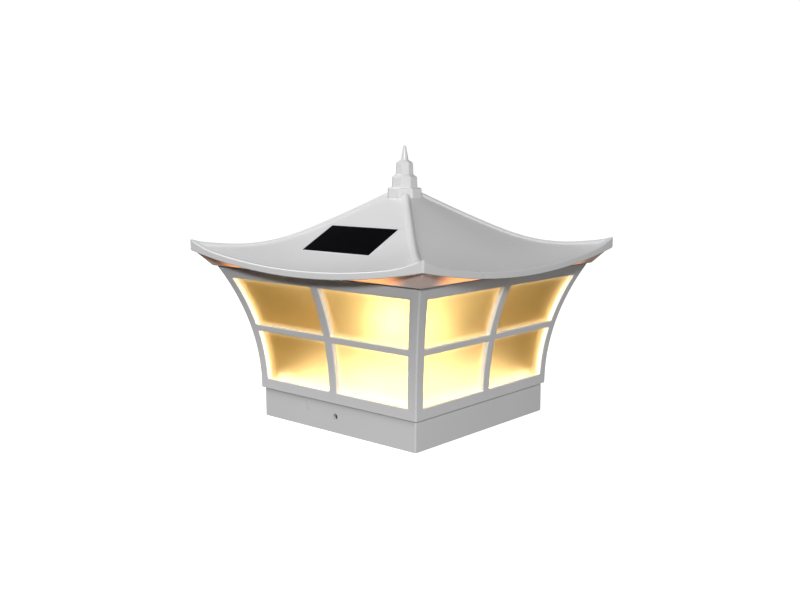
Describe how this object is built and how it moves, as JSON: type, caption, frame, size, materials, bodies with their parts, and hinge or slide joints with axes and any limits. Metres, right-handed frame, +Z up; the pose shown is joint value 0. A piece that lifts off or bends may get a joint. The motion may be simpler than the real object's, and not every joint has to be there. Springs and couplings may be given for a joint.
{
  "type": "deck post cap light",
  "caption": "Solar cap light for a square deck post: white flared lantern with amber panes under a curved pagoda roof that carries a solar panel.",
  "frame": {"origin": "on the vertical axis, level with the bottom rim of the collar", "axes": "+Z up along the axis of the post; -Y out of the side whose roof slope carries the solar panel; +X to the right of someone who faces that side"},
  "size_m": [0.2012, 0.2012, 0.1815],
  "materials": {
    "white_abs": "injection-moulded white ABS, satin gloss",
    "grey_abs": "moulded grey ABS",
    "amber_pane": "frosted amber polycarbonate sheet",
    "solar_laminate": "black cells under clear resin",
    "foam_seal": "closed-cell foam",
    "steel": "stainless steel",
    "nickel": "nickel-plated spring steel",
    "cell_sleeve": "plain shrink sleeve",
    "board": "glass-epoxy laminate with green mask",
    "component_black": "moulded epoxy",
    "knob_black": "moulded nylon",
    "led_resin": "clear resin over a yellow die",
    "frosted_globe": "frosted polycarbonate, lit",
    "lead_jacket": "PVC-insulated hook-up wire"
  },
  "bodies": {
    "lantern": {"post_collar": "white_abs", "lantern_frame": "white_abs", "pane_front": "amber_pane", "pane_right": "amber_pane", "pane_back": "amber_pane", "pane_left": "amber_pane", "pane_retainer": "white_abs", "base_screws": "steel"},
    "roof": {"roof_shell": "white_abs", "finial": "white_abs", "finial_screw": "steel", "solar_panel": "solar_laminate", "panel_seal": "foam_seal", "soffit_tray": "white_abs", "tray_screws": "steel", "roof_gasket": "foam_seal", "battery_bay": "grey_abs", "battery": "cell_sleeve", "battery_contact": "nickel", "battery_spring": "nickel", "hinge_pin": "steel", "lamp_stem": "white_abs", "led_board": "board", "leds": "led_resin", "lamp_globe": "frosted_globe", "circuit_board": "board", "board_parts": "component_black", "board_screws": "steel", "switch_body": "component_black", "panel_leads": "lead_jacket", "battery_leads": "lead_jacket", "lamp_leads": "lead_jacket", "switch_leads": "lead_jacket"},
    "battery_door": {"battery_door": "grey_abs"},
    "switch_knob": {"switch_knob": "knob_black"}
  },
  "joints": [
    {"name": "roof_lift", "type": "slide", "parent": "lantern", "child": "roof", "axis": [0, 0, 1], "range_m": [0, 0.06]},
    {"name": "battery_door_hinge", "type": "hinge", "parent": "roof", "child": "battery_door", "pos_m": [0, 0.04095, 0.1036], "axis": [1, 0, 0], "range_deg": [0, 95]},
    {"name": "switch_slide", "type": "slide", "parent": "roof", "child": "switch_knob", "axis": [1, 0, 0], "range_m": [0, 0.003]}
  ]
}
